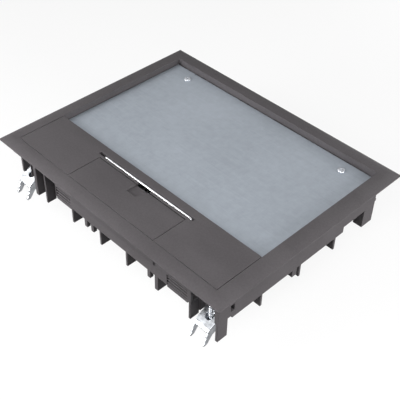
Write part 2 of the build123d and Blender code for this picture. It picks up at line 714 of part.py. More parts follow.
def make_socket(x, cy):
    with BuildPart() as outlet:
        half = module / 2
        block(x - half, x + half, cy - half, cy + half, -carrier_top, face_top)
        half = body_side / 2
        block(x - half, x + half, cy - half, cy + half, body_bottom, -carrier_top)
        rod(x, cy, well_floor, face_top, well_r, mode=Mode.SUBTRACT)
        for sx in (-1, 1):
            px = x + sx * pin_gap / 2
            rod(px, cy, well_floor - well_floor_t, well_floor, pin_hole_r, mode=Mode.SUBTRACT)
            rod(px, cy, body_bottom, well_floor - well_floor_t, sleeve_r + clear,
                mode=Mode.SUBTRACT)
        # slots for the two arms of the earth clip and the channel that joins them
        for sy in (-1, 1):
            block(x - earth_w / 2 - clear, x + earth_w / 2 + clear,
                  *sorted((cy + sy * (earth_y - earth_t - clear), cy + sy * (earth_y + clear))),
                  body_bottom, well_floor, mode=Mode.SUBTRACT)
        block(x - earth_w / 2 - clear, x + earth_w / 2 + clear, cy - earth_y, cy + earth_y,
              body_bottom, body_bottom + earth_t + earth_gap, mode=Mode.SUBTRACT)
    return outlet.part


def make_earth_clip(x, cy):
    with BuildPart() as clip:
        block(x - earth_w / 2, x + earth_w / 2, cy - earth_y, cy + earth_y,
              body_bottom + earth_seat, body_bottom + earth_seat + earth_t)
        for sy in (-1, 1):
            block(x - earth_w / 2, x + earth_w / 2,
                  *sorted((cy + sy * (earth_y - earth_t), cy + sy * earth_y)),
                  body_bottom + earth_seat, well_floor + earth_rise)
    return clip.part


def make_contacts(x, cy):
    with BuildPart() as sleeves:
        for sx in (-1, 1):
            px = x + sx * pin_gap / 2
            rod(px, cy, sleeve_top - sleeve_len, sleeve_top, sleeve_r)
            rod(px, cy, sleeve_top - sleeve_len - 1, sleeve_top + 1, sleeve_in_r,
                mode=Mode.SUBTRACT)
    return sleeves.part


number = 0
for row, cy in zip(("front", "rear"), cup_y):
    save(make_cup(cy), "device_cup_" + row)
    save(make_carrier(cy), "socket_carrier_" + row)
    spots = [(sx * (cup_half_x - cup_wall - boss_in),
              cy + dy * (cup_w / 2 - cup_wall - boss_in)) for sx in (-1, 1) for dy in (-1, 1)]
    screws = [screw(px, py, -carrier_top, carrier_screw_r, carrier_screw_len, carrier_screw_head_r,
                    carrier_screw_head_h, small_slot) for px, py in spots]
    save(Compound(children=screws), "carrier_screws_" + row)
    spots = [(sx * cup_screw_x, cy + dy * cup_screw_y) for sx in (-1, 1) for dy in (-1, 1)]
    screws = [screw(px, py, -cup_top, cup_screw_r, cup_screw_len, cup_screw_head_r,
                    cup_screw_head_h, small_slot) for px, py in spots]
    save(Compound(children=screws), "cup_screws_" + row)
    for k in (-1, 0, 1):
        number += 1
        x = k * module_pitch
        save(make_socket(x, cy), "socket_" + str(number))
        save(make_earth_clip(x, cy), "earth_clip_" + str(number))
        save(make_contacts(x, cy), "contact_sleeves_" + str(number))
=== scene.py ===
import json
import math
import bmesh
import bpy
from mathutils import Matrix, Vector, noise


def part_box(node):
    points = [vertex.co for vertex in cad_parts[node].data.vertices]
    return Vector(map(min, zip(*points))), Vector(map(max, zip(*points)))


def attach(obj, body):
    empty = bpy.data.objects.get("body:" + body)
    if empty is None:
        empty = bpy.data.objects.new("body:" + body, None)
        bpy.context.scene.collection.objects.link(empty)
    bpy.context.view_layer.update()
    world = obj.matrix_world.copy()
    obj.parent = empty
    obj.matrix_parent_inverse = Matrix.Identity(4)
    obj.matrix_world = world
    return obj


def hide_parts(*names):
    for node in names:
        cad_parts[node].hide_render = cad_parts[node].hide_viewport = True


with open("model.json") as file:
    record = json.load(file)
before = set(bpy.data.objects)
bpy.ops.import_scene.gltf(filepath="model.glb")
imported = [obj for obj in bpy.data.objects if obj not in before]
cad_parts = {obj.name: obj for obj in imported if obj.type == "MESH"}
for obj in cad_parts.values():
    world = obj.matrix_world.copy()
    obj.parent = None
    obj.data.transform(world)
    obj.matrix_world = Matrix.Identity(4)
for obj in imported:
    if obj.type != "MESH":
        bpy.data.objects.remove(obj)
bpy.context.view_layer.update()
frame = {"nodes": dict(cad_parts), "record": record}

nodes = frame["nodes"]
MM = 0.001
FLOOR_H = 0.068             # finished floor surface, above the base of the cups
CORNERS = ("front_right", "front_left", "rear_right", "rear_left")
ROWS = ("front", "rear")
OUTLETS = range(1, 7)
WHITE = (1.0, 1.0, 1.0, 1.0)


def tone(r, g, b):
    """Colour as measured on the object, 0 to 255 a channel, as the shader wants it."""
    out = []
    for c in (r, g, b):
        c = c / 255
        out.append(c / 12.92 if c <= 0.04045 else ((c + 0.055) / 1.055) ** 2.4)
    return (*out, 1.0)


# Nodes

def put(tree, kind, feeds=None, **settings):
    """One node with its settings; feeds gives each input a value or a socket."""
    node = tree.nodes.new(kind)
    for key, value in settings.items():
        setattr(node, key, value)
    for key, value in (feeds or {}).items():
        sources = value if isinstance(value, list) else [value]
        if isinstance(sources[0], bpy.types.NodeSocket):
            for source in sources:
                tree.links.new(source, node.inputs[key])
        else:
            node.inputs[key].default_value = value
    return node


def calc(tree, how, a, b=0.0, clamp=False):
    """Result of one math node."""
    return put(tree, "ShaderNodeMath", {0: a, 1: b}, operation=how, use_clamp=clamp).outputs[0]


def between(tree, value, low, high, out_low=0.0, out_high=1.0):
    """Value stretched from one range to another and kept inside it."""
    node = put(tree, "ShaderNodeMapRange", {0: value, 1: low, 2: high, 3: out_low, 4: out_high})
    return node.outputs[0]


def blended(tree, *parts):
    """Sum of values, each with its share."""
    total = None
    for value, share in parts:
        piece = calc(tree, "MULTIPLY", value, share)
        total = piece if total is None else calc(tree, "ADD", total, piece)
    return total


def grouped(name, inputs, outputs):
    """Shader node group with named inputs and outputs."""
    tree = bpy.data.node_groups.new(name, "ShaderNodeTree")
    for label, value in inputs:
        socket = tree.interface.new_socket(label, in_out="INPUT", socket_type="NodeSocketFloat")
        socket.default_value = value
    for label, kind in outputs:
        tree.interface.new_socket(label, in_out="OUTPUT", socket_type=kind)
    return tree, tree.nodes.new("NodeGroupInput").outputs


def give(tree, **values):
    """Feed the outputs of a group."""
    end = tree.nodes.new("NodeGroupOutput")
    for label, value in values.items():
        tree.links.new(value, end.inputs[label])
    return tree


def object_noise(tree, size, detail, rough, stretch=(1.0, 1.0, 1.0), shift=0.0):
    """Noise on object coordinates, size in metres a feature; shift sets it apart from others."""
    coords = tree.nodes.new("ShaderNodeTexCoord").outputs["Object"]
    offset = (shift, shift * 0.7, shift * 1.3)
    moved = put(tree, "ShaderNodeMapping", {"Vector": coords, "Location": offset, "Scale": stretch})
    scale = calc(tree, "DIVIDE", 1.0, size)
    return put(tree, "ShaderNodeTexNoise", {"Vector": moved.outputs[0], "Scale": scale,
                                            "Detail": detail, "Roughness": rough}).outputs[0]


# Effects that several finishes share

EDGE_TURN = (0.985, 0.80)   # cosines of the edge's turn where wear begins and is full
EDGE_PATCHES = (0.38, 0.66)


def make_rubbed_edge():
    """Rounded edge normal, and a mask of the worn edges."""
    tree, start = grouped("rubbed_edge", [("Radius", 0.0004), ("Patch", 0.012), ("Wear", 0.5)],
                          [("Mask", "NodeSocketFloat"), ("Normal", "NodeSocketVector")])
    soft = put(tree, "ShaderNodeBevel", {"Radius": start["Radius"]}, samples=6).outputs[0]
    flat = tree.nodes.new("ShaderNodeNewGeometry").outputs["Normal"]
    turn = put(tree, "ShaderNodeVectorMath", {0: soft, 1: flat}, operation="DOT_PRODUCT")
    edge = between(tree, turn.outputs["Value"], *EDGE_TURN)
    patch = between(tree, object_noise(tree, start["Patch"], 4.0, 0.6), *EDGE_PATCHES)
    worn = calc(tree, "MULTIPLY", calc(tree, "MULTIPLY", edge, patch), start["Wear"], clamp=True)
    return give(tree, Mask=worn, Normal=soft)


def make_moulded_grain():
    """Fine spark-eroded grain of a moulding, its flow marks and its dull patches."""
    tree, start = grouped("moulded_grain", [("Grain", 0.0006), ("Flow", 0.05)],
                          [("Height", "NodeSocketFloat"), ("Shade", "NodeSocketFloat"),
                           ("Dull", "NodeSocketFloat")])
    fine = object_noise(tree, start["Grain"], 2.0, 0.5)
    coarse = object_noise(tree, calc(tree, "MULTIPLY", start["Grain"], 4.0), 2.0, 0.5, shift=3.1)
    speck = object_noise(tree, calc(tree, "MULTIPLY", start["Grain"], 2.2), 1.0, 0.5, shift=8.3)
    flow = object_noise(tree, start["Flow"], 3.0, 0.5, (1.0, 2.2, 1.0), 1.7)
    return give(tree, Height=blended(tree, (fine, 0.75), (coarse, 0.25)),
                Shade=blended(tree, (flow, 0.6), (speck, 0.4)),
                Dull=blended(tree, (flow, 0.7), (fine, 0.3)))


def make_rolled_sheet():
    """Brushing lines, faint zinc bloom and clouding of a galvanised sheet."""
    tree, start = grouped("rolled_sheet", [("Line", 0.0005), ("Bloom", 0.010), ("Cloud", 0.09)],
                          [("Height", "NodeSocketFloat"), ("Shade", "NodeSocketFloat"),
                           ("Dull", "NodeSocketFloat")])
    lines = object_noise(tree, start["Line"], 3.0, 0.6, (0.012, 1.0, 1.0))
    cross = object_noise(tree, start["Line"], 2.0, 0.5, (1.0, 0.05, 1.0), 5.0)
    bloom = object_noise(tree, start["Bloom"], 5.0, 0.65, (1.0, 1.0, 1.0), 7.0)
    cloud = object_noise(tree, start["Cloud"], 2.0, 0.5, (1.0, 1.0, 1.0), 2.0)
    return give(tree, Height=blended(tree, (lines, 0.8), (cross, 0.2)),
                Shade=blended(tree, (lines, 0.30), (cross, 0.12), (bloom, 0.28), (cloud, 0.30)),
                Dull=blended(tree, (bloom, 0.3), (lines, 0.7)))


def make_zinc_bloom():
    """Blotches and fine scratches of a plated part."""
    tree, start = grouped("zinc_bloom", [("Blotch", 0.004), ("Scratch", 0.0004)],
                          [("Height", "NodeSocketFloat"), ("Shade", "NodeSocketFloat")])
    blotch = object_noise(tree, start["Blotch"], 4.0, 0.6)
    scratch = object_noise(tree, start["Scratch"], 3.0, 0.6, (1.0, 0.15, 0.15), 4.0)
    return give(tree, Height=scratch, Shade=blended(tree, (blotch, 0.7), (scratch, 0.3)))


RUBBED = make_rubbed_edge()
GRAIN = make_moulded_grain()
ROLLED = make_rolled_sheet()
BLOOM = make_zinc_bloom()


# Finishes

SHADE_SPAN = (0.35, 0.65)   # stretch of a noise that runs from the dark tone to the light one
DULL_SPAN = (0.3, 0.7)      # stretch of a noise that runs from the smooth to the rough end
EDGE_POLISH = 0.12          # how much smoother a rubbed plastic edge is
EDGE_SHINE = 1.2            # how much brighter a rubbed metal edge is
PORES_A_METRE = 1100.0


def new_finish(name):
    """Material with one shader and nothing else."""
    mat = bpy.data.materials.new(name)
    mat.use_nodes = True
    tree = mat.node_tree
    tree.nodes.clear()
    out = tree.nodes.new("ShaderNodeOutputMaterial")
    shader = tree.nodes.new("ShaderNodeBsdfPrincipled")
    tree.links.new(shader.outputs[0], out.inputs[0])
    return mat, tree, shader


def use(tree, group, **values):
    """Outputs of a group that is given its values."""
    node = put(tree, "ShaderNodeGroup", node_tree=group)
    for key, value in values.items():
        node.inputs[key].default_value = value
    return node.outputs


def mixed(tree, share, a, b):
    """Colour between two, by a share."""
    return put(tree, "ShaderNodeMix", {0: share, 6: a, 7: b}, data_type="RGBA").outputs[2]


def relieved(tree, shader, height, normal, depth):
    """Bump the shader's surface over its rounded edges."""
    bump = put(tree, "ShaderNodeBump", {"Height": height, "Normal": normal, "Distance": depth,
                                        "Strength": 1.0})
    tree.links.new(bump.outputs[0], shader.inputs["Normal"])


def moulded(name, dark, light, worn, rough=(0.46, 0.60), grain=0.0006, bump=0.00004, wear=0.45,
            gloss=0.1):
    """Moulded plastic between two tones, paler along its rubbed edges."""
    mat, tree, shader = new_finish(name)
    marks = use(tree, GRAIN, Grain=grain, Flow=0.05)
    edge = use(tree, RUBBED, Radius=0.0004, Patch=0.012, Wear=wear)
    body = mixed(tree, between(tree, marks["Shade"], *SHADE_SPAN), dark, light)
    tree.links.new(mixed(tree, edge["Mask"], body, worn), shader.inputs["Base Color"])
    dull = between(tree, marks["Dull"], *DULL_SPAN, *rough)
    dull = calc(tree, "SUBTRACT", dull, calc(tree, "MULTIPLY", edge["Mask"], EDGE_POLISH))
    tree.links.new(dull, shader.inputs["Roughness"])
    relieved(tree, shader, marks["Height"], edge["Normal"], bump)
    shader.inputs["Specular IOR Level"].default_value = gloss
    return mat


def plated(name, dark, light, rough, blotch=0.004):
    """Plated or turned metal with blotches, scratches and polished edges."""
    mat, tree, shader = new_finish(name)
    marks = use(tree, BLOOM, Blotch=blotch, Scratch=0.0004)
    edge = use(tree, RUBBED, Radius=0.00025, Patch=0.003, Wear=0.7)
    body = mixed(tree, between(tree, marks["Shade"], *SHADE_SPAN), dark, light)
    bright = tuple(min(1.0, c * EDGE_SHINE) for c in light)
    tree.links.new(mixed(tree, edge["Mask"], body, bright), shader.inputs["Base Color"])
    dull = between(tree, marks["Shade"], *DULL_SPAN, *rough)
    tree.links.new(dull, shader.inputs["Roughness"])
    relieved(tree, shader, marks["Height"], edge["Normal"], 0.000012)
    shader.inputs["Metallic"].default_value = 1.0
    return mat


def sheet_steel(name, dark, light, bright):
    """Brushed galvanised sheet of the lid plate."""
    mat, tree, shader = new_finish(name)
    marks = use(tree, ROLLED, Line=0.0005, Bloom=0.006, Cloud=0.12)
    edge = use(tree, RUBBED, Radius=0.0003, Patch=0.01, Wear=0.6)
    body = mixed(tree, between(tree, marks["Shade"], 0.36, 0.64), dark, light)
    tree.links.new(mixed(tree, edge["Mask"], body, bright), shader.inputs["Base Color"])
    dull = between(tree, marks["Dull"], 0.25, 0.75, 0.44, 0.56)
    tree.links.new(dull, shader.inputs["Roughness"])
    relieved(tree, shader, marks["Height"], edge["Normal"], 0.000006)
    shader.inputs["Metallic"].default_value = 0.4
    return mat


def foamed(name):
    """Open-pored black foam, with painted shade in the hollows of its pores."""
    mat, tree, shader = new_finish(name)
    coords = tree.nodes.new("ShaderNodeTexCoord").outputs["Object"]
    pores = put(tree, "ShaderNodeTexVoronoi", {"Vector": coords, "Scale": PORES_A_METRE})
    pores = pores.outputs["Distance"]
    deep = between(tree, pores, 0.15, 0.5)
    # the foam's own black, painted darker towards the bottom of each pore: painted shade in the
    # pore hollows, on the same mask as the bump
    black = mixed(tree, deep, tone(24, 24, 26), tone(46, 46, 48))
    tree.links.new(black, shader.inputs["Base Color"])
    bump = put(tree, "ShaderNodeBump", {"Height": deep, "Distance": 0.0003, "Strength": 1.0})
    tree.links.new(bump.outputs[0], shader.inputs["Normal"])
    tree.links.new(between(tree, pores, 0.0, 0.6, 1.0, 0.85), shader.inputs["Roughness"])
    shader.inputs["Sheen Weight"].default_value = 0.15
    return mat


finish = {
    "frame_plastic": moulded("frame_iron_grey", tone(78, 75, 77), tone(87, 84, 86),
                             tone(118, 116, 118)),
    "lid_plastic": moulded("lid_iron_grey", tone(77, 74, 76), tone(86, 83, 85),
                           tone(116, 114, 116)),
    "plate_steel": sheet_steel("lid_sheet_steel", tone(146, 153, 161), tone(168, 175, 184),
                               tone(225, 230, 236)),
    "handle_steel": plated("handle_bright_steel", tone(226, 226, 230), tone(244, 244, 246),
                           (0.16, 0.26)),
    "zinc_steel": plated("claw_bright_zinc", tone(172, 175, 180), tone(222, 225, 229), (0.24, 0.4)),
    "screw_steel": plated("screw_zinc", tone(176, 180, 186), tone(222, 225, 230), (0.22, 0.38),
                          blotch=0.002),
    "pin_steel": plated("pin_steel", tone(150, 153, 158), tone(190, 193, 198), (0.25, 0.4)),
    "foam": foamed("outlet_foam"),
    "cup_plastic": moulded("cup_grey", tone(104, 106, 108), tone(116, 118, 120),
                           tone(146, 148, 150)),
    "socket_plastic": moulded("outlet_white", tone(204, 203, 198), tone(216, 215, 210),
                              tone(230, 229, 225), rough=(0.28, 0.4), grain=0.0004, bump=0.00001,
                              wear=0.3, gloss=0.5),
    "latch_plastic": moulded("latch_black", tone(34, 34, 36), tone(44, 44, 46), tone(70, 70, 72)),
    "contact_brass": plated("contact_brass", tone(186, 150, 84), tone(214, 180, 112), (0.24, 0.4)),
}

# Every CAD node gets the finish of its slot
slot_of = {}
for name, piece in nodes.items():
    slot_of[name] = piece.material_slots[0].material.name.split(".")[0]
    piece.material_slots[0].material = finish[slot_of[name]]

body_of = {}
for body, members in frame["record"]["behaviour"]["bodies"].items():
    for member in members:
        body_of[member] = body


# Meshes

SAME_SPOT = 2e-6            # how near two vertices of a solid's mesh are when they are one
FLAT_WITHIN = 0.5           # degrees between facets that are taken for one face
WELD = 1e-7                 # how near the vertices of a made mesh are when they are one


def fresh(name, mesh):
    """Object in the scene, at the origin."""
    piece = bpy.data.objects.new(name, mesh)
    bpy.context.scene.collection.objects.link(piece)
    return piece


def baked(piece):
    """Apply what is on a piece, so that a plain mesh is left."""
    bpy.context.view_layer.update()
    ready = piece.evaluated_get(bpy.context.evaluated_depsgraph_get())
    mesh = bpy.data.meshes.new_from_object(ready)
    piece.modifiers.clear()
    piece.data = mesh
    return piece


def shaded(mesh, sharp=35.0):
    """Smooth shading that breaks at the sharp edges."""
    mesh.shade_smooth()
    mesh.set_sharp_from_angle(angle=math.radians(sharp))


def settle(piece, *node_names):
    """Give a mesh the finish and body of the CAD nodes it stands for, and hide those nodes."""
    slot = slot_of[node_names[0]]
    piece.data.materials.clear()
    piece.data.materials.append(finish[slot])
    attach(piece, body_of[node_names[0]])
    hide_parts(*node_names)
    return piece


def round_edges(piece, radius, steps=2, angle=50):
    """Round the sharp edges, with the flat faces still shaded flat."""
    shaded(piece.data, angle)
    bevel = piece.modifiers.new("round", "BEVEL")
    bevel.width = radius
    bevel.segments = steps
    bevel.limit_method = "ANGLE"
    bevel.angle_limit = math.radians(angle)
    bevel.use_clamp_overlap = False
    bevel.harden_normals = True
    return baked(piece)


def eased(node, radius):
    """The CAD solid's shape with its sharp edges rounded as the moulding tool leaves them."""
    work = bmesh.new()
    work.from_mesh(nodes[node].data)
    bmesh.ops.remove_doubles(work, verts=work.verts, dist=SAME_SPOT)
    bmesh.ops.dissolve_limit(work, angle_limit=math.radians(FLAT_WITHIN), verts=work.verts,
                             edges=work.edges)
    mesh = bpy.data.meshes.new(node + "_eased")
    work.to_mesh(mesh)
    work.free()
    return settle(round_edges(fresh(node + "_eased", mesh), radius), node)


def rounded(corners, steps=5):
    """Outline through corners (u, v, radius), each corner an arc of its radius."""
    points = []
    count = len(corners)
    for k, (u, v, radius) in enumerate(corners):
        here = Vector((u, v))
        back = (Vector(corners[k - 1][:2]) - here).normalized()
        ahead = (Vector(corners[(k + 1) % count][:2]) - here).normalized()
        half = back.angle(ahead) / 2
        run = radius / math.tan(half)
        centre = here + (back + ahead).normalized() * radius / math.sin(half)
        first = here + back * run - centre
        sweep = first.angle_signed(here + ahead * run - centre)
        for step in range(steps + 1):
            turn = Matrix.Rotation(-sweep * step / steps, 2)
            points.append(centre + turn @ first)
    return points


def ring_part(inner, outer, start, sweep, steps=14):
    """Outline of a stretch of a ring."""
    angles = [math.radians(start + sweep * k / steps) for k in range(steps + 1)]
    far = [Vector((outer * math.cos(a), outer * math.sin(a))) for a in angles]
    near = [Vector((inner * math.cos(a), inner * math.sin(a))) for a in reversed(angles)]
    return far + near


def add_slab(work, outline, low, high, place):
    """Add the solid between two levels of an outline; place turns u, v, level into x, y, z."""
    floor = [work.verts.new(place(p[0], p[1], low)) for p in outline]
    roof = [work.verts.new(place(p[0], p[1], high)) for p in outline]
    work.faces.new(floor)
    work.faces.new(reversed(roof))
    count = len(outline)
    for k in range(count):
        n = (k + 1) % count
        work.faces.new((floor[n], floor[k], roof[k], roof[n]))


def finished_mesh(work, name):
    """Mesh of the work, with its normals outward."""
    bmesh.ops.remove_doubles(work, verts=work.verts, dist=WELD)
    bmesh.ops.recalc_face_normals(work, faces=work.faces)
    mesh = bpy.data.meshes.new(name)
    work.to_mesh(mesh)
    work.free()
    return mesh


# Shapes that repeat

def sized_tree(name, sizes):
    """Geometry node tree with named sizes and a finish."""
    tree = bpy.data.node_groups.new(name, "GeometryNodeTree")
    tree.is_modifier = True
    for label, kind in sizes:
        tree.interface.new_socket(label, in_out="INPUT", socket_type="NodeSocket" + kind)
    tree.interface.new_socket("Finish", in_out="INPUT", socket_type="NodeSocketMaterial")
    tree.interface.new_socket("Shape", in_out="OUTPUT", socket_type="NodeSocketGeometry")
    return tree, tree.nodes.new("NodeGroupInput").outputs


def end_tree(tree, shape, start):
    """Realise the shape, dress it and give it out."""
    whole = put(tree, "GeometryNodeRealizeInstances", {0: shape}).outputs[0]
    dressed = put(tree, "GeometryNodeSetMaterial", {"Geometry": whole, "Material": start["Finish"]})
    end = tree.nodes.new("NodeGroupOutput")
    tree.links.new(dressed.outputs[0], end.inputs[0])
    return tree


LAYOUT = [("Centre", "Vector"), ("Spread X", "Float"), ("Spread Y", "Float"), ("Columns", "Int"),
          ("Rows", "Int")]


def spots(tree, start):
    """Points in columns and rows about the centre."""
    count = calc(tree, "MULTIPLY", start["Columns"], start["Rows"])
    points = put(tree, "GeometryNodePoints", {"Count": count}).outputs[0]
    index = tree.nodes.new("GeometryNodeInputIndex").outputs[0]
    column = calc(tree, "FLOORED_MODULO", index, start["Columns"])
    row = calc(tree, "FLOOR", calc(tree, "DIVIDE", index, start["Columns"]))
    place = []
    for step, number, spread in ((column, "Columns", "Spread X"), (row, "Rows", "Spread Y")):
        gaps = calc(tree, "MAXIMUM", calc(tree, "SUBTRACT", start[number], 1.0), 1.0)
        share = calc(tree, "SUBTRACT", calc(tree, "DIVIDE", step, gaps), 0.5)
        place.append(calc(tree, "MULTIPLY", share, start[spread]))
    offset = put(tree, "ShaderNodeCombineXYZ", {0: place[0], 1: place[1]}).outputs[0]
    spot = put(tree, "ShaderNodeVectorMath", {0: start["Centre"], 1: offset}, operation="ADD")
    return put(tree, "GeometryNodeSetPosition", {"Geometry": points,
                                                 "Position": spot.outputs[0]}).outputs[0]


def lifted(tree, shape, height):
    """Shape moved up by a height."""
    lift = put(tree, "ShaderNodeCombineXYZ", {2: height}).outputs[0]
    return put(tree, "GeometryNodeTransform", {"Geometry": shape, "Translation": lift}).outputs[0]


def narrowed(tree, shape, share):
    """Scale a shape's distance from its axis by a share that varies with height."""
    where = tree.nodes.new("GeometryNodeInputPosition").outputs[0]
    factor = put(tree, "ShaderNodeCombineXYZ", {0: share, 1: share, 2: 1.0}).outputs[0]
    spot = put(tree, "ShaderNodeVectorMath", {0: where, 1: factor}, operation="MULTIPLY").outputs[0]
    return put(tree, "GeometryNodeSetPosition", {"Geometry": shape, "Position": spot}).outputs[0]


def height_share(tree, depth):
    """Height of a point in a shape about the origin, 0 at its foot and 1 at its top."""
    where = tree.nodes.new("GeometryNodeInputPosition").outputs[0]
    z = put(tree, "ShaderNodeSeparateXYZ", {0: where}).outputs[2]
    return calc(tree, "ADD", calc(tree, "DIVIDE", z, depth), 0.5)


# Shares of a screw's own sizes
DOME_FROM = 0.3             # height of the head where its rounding begins
DOME_TOP = 0.60             # radius at the top of the head
RECESS_REACH = 1.15         # length of the recess
RECESS_LIFT = 0.45          # height of the recess's foot
RECESS_FOOT = 0.8           # width of the recess at its foot
CORE = 0.82                 # radius under the thread
CREST = 0.17                # radius of the thread's ridge
POINT = 0.45                # radius at the point
POINT_RISE = 6.0            # how fast the point widens along the length
THREADED = 0.86             # length that has a thread
THREAD_FOOT = 0.93          # depth at which the thread begins


def make_cross_screws():
    """Pan-head screws with a cross recess and a rolled thread, each turned its own way."""
    sizes = LAYOUT + [(label, "Float") for label in (
        "Head Radius", "Head Height", "Shank Radius", "Length", "Pitch", "Slot", "Turn")]
    tree, start = sized_tree("cross_screws", sizes)
    radius, height, length = start["Head Radius"], start["Head Height"], start["Length"]
    head = put(tree, "GeometryNodeMeshCylinder", {
        "Vertices": 40, "Side Segments": 10, "Radius": radius, "Depth": height}).outputs["Mesh"]
    bend = calc(tree, "SUBTRACT", height_share(tree, height), DOME_FROM)
    bend = calc(tree, "DIVIDE", bend, 1.0 - DOME_FROM, clamp=True)
    crown = calc(tree, "SQRT", calc(tree, "SUBTRACT", 1.0, calc(tree, "MULTIPLY", bend, bend)))
    crown = calc(tree, "ADD", DOME_TOP, calc(tree, "MULTIPLY", crown, 1.0 - DOME_TOP))
    head = narrowed(tree, head, crown)
    wings = []
    for across, along in ((start["Slot"], radius), (radius, start["Slot"])):
        size = put(tree, "ShaderNodeCombineXYZ", {
            0: calc(tree, "MULTIPLY", across, RECESS_REACH),
            1: calc(tree, "MULTIPLY", along, RECESS_REACH), 2: height})
        wing = put(tree, "GeometryNodeMeshCube", {"Size": size.outputs[0]}).outputs["Mesh"]
        widening = calc(tree, "MULTIPLY", height_share(tree, height), 1.0 - RECESS_FOOT)
        wings.append(narrowed(tree, wing, calc(tree, "ADD", RECESS_FOOT, widening)))
    recess = put(tree, "GeometryNodeJoinGeometry", {0: wings}).outputs[0]
    recess = lifted(tree, recess, calc(tree, "MULTIPLY", height, RECESS_LIFT))
    head = put(tree, "GeometryNodeMeshBoolean", {"Mesh 1": head, "Mesh 2": recess,
                                                 "Self Intersection": True},
               operation="DIFFERENCE", solver="EXACT").outputs[0]
    head = lifted(tree, head, calc(tree, "MULTIPLY", height, 0.5))
    core_radius = calc(tree, "MULTIPLY", start["Shank Radius"], CORE)
    core = put(tree, "GeometryNodeMeshCylinder", {
        "Vertices": 24, "Side Segments": 16, "Radius": core_radius,
        "Depth": length}).outputs["Mesh"]
    point = calc(tree, "MULTIPLY", height_share(tree, length), POINT_RISE)
    point = calc(tree, "MINIMUM", calc(tree, "ADD", POINT, point), 1.0)
    core = lifted(tree, narrowed(tree, core, point), calc(tree, "MULTIPLY", length, -0.5))
    run = calc(tree, "MULTIPLY", length, THREADED)
    coil = put(tree, "GeometryNodeCurveSpiral", {
        "Resolution": 18, "Rotations": calc(tree, "DIVIDE", run, start["Pitch"]),
        "Start Radius": core_radius, "End Radius": core_radius, "Height": run}).outputs[0]
    ridge = calc(tree, "MULTIPLY", start["Shank Radius"], CREST)
    crest = put(tree, "GeometryNodeCurvePrimitiveCircle", {"Resolution": 4, "Radius": ridge})
    thread = put(tree, "GeometryNodeCurveToMesh", {
        "Curve": coil, "Profile Curve": crest.outputs["Curve"], "Fill Caps": True}).outputs[0]
    thread = lifted(tree, thread, calc(tree, "MULTIPLY", length, -THREAD_FOOT))
    screw = put(tree, "GeometryNodeJoinGeometry", {0: [head, core, thread]}).outputs[0]
    draw = put(tree, "FunctionNodeRandomValue", {"Max": start["Turn"], "Seed": 7},
               data_type="FLOAT")
    turn = put(tree, "ShaderNodeCombineXYZ", {2: draw.outputs[1]}).outputs[0]
    turn = put(tree, "FunctionNodeEulerToRotation", {0: turn}).outputs[0]
    laid = put(tree, "GeometryNodeInstanceOnPoints", {
        "Points": spots(tree, start), "Instance": screw, "Rotation": turn}).outputs[0]
    return end_tree(tree, laid, start)


def make_spread_parts():
    """Copies of one small part in columns and rows."""
    tree, start = sized_tree("spread_parts", LAYOUT + [("Part", "Object")])
    part = put(tree, "GeometryNodeObjectInfo", {"Object": start["Part"]}).outputs["Geometry"]
    laid = put(tree, "GeometryNodeInstanceOnPoints", {
        "Points": spots(tree, start), "Instance": part}).outputs[0]
    return end_tree(tree, laid, start)


CROSS_SCREWS = make_cross_screws()
SPREAD_PARTS = make_spread_parts()


def grown(name, tree, node_names, sizes):
    """Run a tree with its sizes, keep the plain mesh and settle it."""
    piece = fresh(name, bpy.data.meshes.new(name))
    bench = piece.modifiers.new("shape", "NODES")
    bench.node_group = tree
    sizes["Finish"] = finish[slot_of[node_names[0]]]
    for item in tree.interface.items_tree:
        if item.in_out == "INPUT":
            bench[item.identifier] = sizes[item.name]
    baked(piece)
    shaded(piece.data)
    return settle(piece, *node_names)


# Head radius and height, shank radius, pitch and half width of the recess in millimetres, and the
# largest turn of the recess in radians
CLAW_SCREW = (4.0, 2.8, 2.5, 0.8, 0.6, 0.0)
CUP_SCREW = (2.9, 1.8, 1.5, 0.7, 0.45, math.tau)
CARRIER_SCREW = (2.5, 1.6, 1.25, 0.6, 0.45, math.tau)
PLATE_SCREW = (3.4, 1.3, 1.3, 0.6, 0.45, 0.6)


def screws(node, columns, rows, kind):
    """Screws that fill the box of their node, with their heads in its upper corners."""
    low, high = (Vector(p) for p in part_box(node))
    head_r, head_h, shank_r, pitch, slot = (v * MM for v in kind[:5])
    middle = (low + high) / 2
    middle.z = high.z - head_h
    spread = high - low
    grown(node + "_turned", CROSS_SCREWS, [node], {
        "Centre": middle, "Spread X": spread.x - 2 * head_r, "Spread Y": spread.y - 2 * head_r,
        "Columns": columns, "Rows": rows, "Head Radius": head_r, "Head Height": head_h,
        "Shank Radius": shank_r, "Length": spread.z - head_h, "Pitch": pitch, "Slot": 2 * slot,
        "Turn": kind[5]})


# Lift handle

HANDLE_BAR = 2.1 * MM
HANDLE_ARM = 4.0 * MM
HANDLE_FOOT = 2.5 * MM
HANDLE_TOE = 3.0 * MM
HANDLE_BEND = 2.6 * MM      # outside of the bend
HANDLE_CROOK = 1.2 * MM     # inside of the bend
TOE_CORNER = 0.7 * MM
TOE_FILLET = 0.5 * MM


